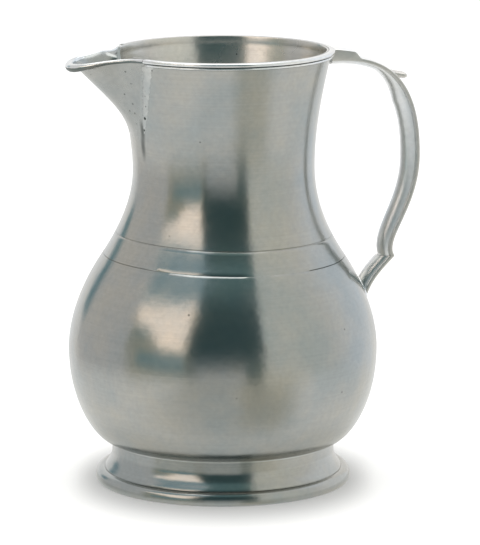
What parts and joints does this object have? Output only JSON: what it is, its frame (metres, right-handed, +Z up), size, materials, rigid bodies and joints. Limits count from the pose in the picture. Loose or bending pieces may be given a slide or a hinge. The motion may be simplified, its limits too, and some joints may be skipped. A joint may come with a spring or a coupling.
{
  "type": "pewter jug",
  "caption": "Open pear-shaped pewter jug with a moulded foot, incised waist lines, flared neck with beaded rim, soldered beak spout and flanged scroll handle, for pouring drink.",
  "frame": {"origin": "centre of the foot's resting face, on the turning axis of the body", "axes": "+Z up along the turning axis, handle toward +X, spout toward -X"},
  "size_m": [0.1809, 0.1564, 0.22],
  "materials": {
    "pewter": "satin cast pewter with fine turning lines",
    "bright_pewter": "rubbed pewter on edges and beads",
    "solder": "dull tin solder"
  },
  "bodies": {
    "root": {"foot_ring": "pewter", "lower_bowl": "pewter", "shoulder": "pewter", "neck": "pewter", "rim_band": "bright_pewter", "spout": "bright_pewter", "handle_grip": "pewter", "handle_strut": "pewter", "thumb_spur": "bright_pewter", "foot_solder": "solder", "belly_solder": "solder", "neck_solder": "solder", "spout_solder": "solder", "handle_root_solder": "solder", "handle_strut_solder": "solder"}
  },
  "joints": []
}
